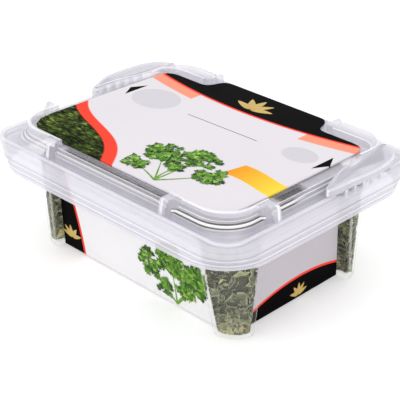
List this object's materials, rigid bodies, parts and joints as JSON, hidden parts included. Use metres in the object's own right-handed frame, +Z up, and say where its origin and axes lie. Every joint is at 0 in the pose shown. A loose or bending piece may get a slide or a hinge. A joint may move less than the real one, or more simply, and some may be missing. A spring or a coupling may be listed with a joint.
{
  "type": "lidded tub of dried parsley",
  "caption": "Clear oblong plastic tub on hollow corner legs, filled with dried herb flakes, with a press-on stacking lid and printed labels on its top and sides.",
  "frame": {"origin": "centre of the footprint, on the table the four feet stand on", "axes": "+X along the tub's length, towards the short side that the picture shows on the right; -Y towards the pictured long side; +Z up"},
  "size_m": [0.1102, 0.0886, 0.0455],
  "materials": {
    "clear_plastic": "satin",
    "lid_plastic": "satin",
    "top_print": "satin",
    "front_print": "satin",
    "back_print": "satin",
    "right_print": "satin",
    "left_print": "satin",
    "dried_leaf": "matte"
  },
  "bodies": {
    "root": {"tub": "clear_plastic", "lid": "lid_plastic", "top_label": "top_print", "label_front": "front_print", "label_back": "back_print", "label_right": "right_print", "label_left": "left_print", "parsley_flakes": "dried_leaf"}
  },
  "joints": []
}
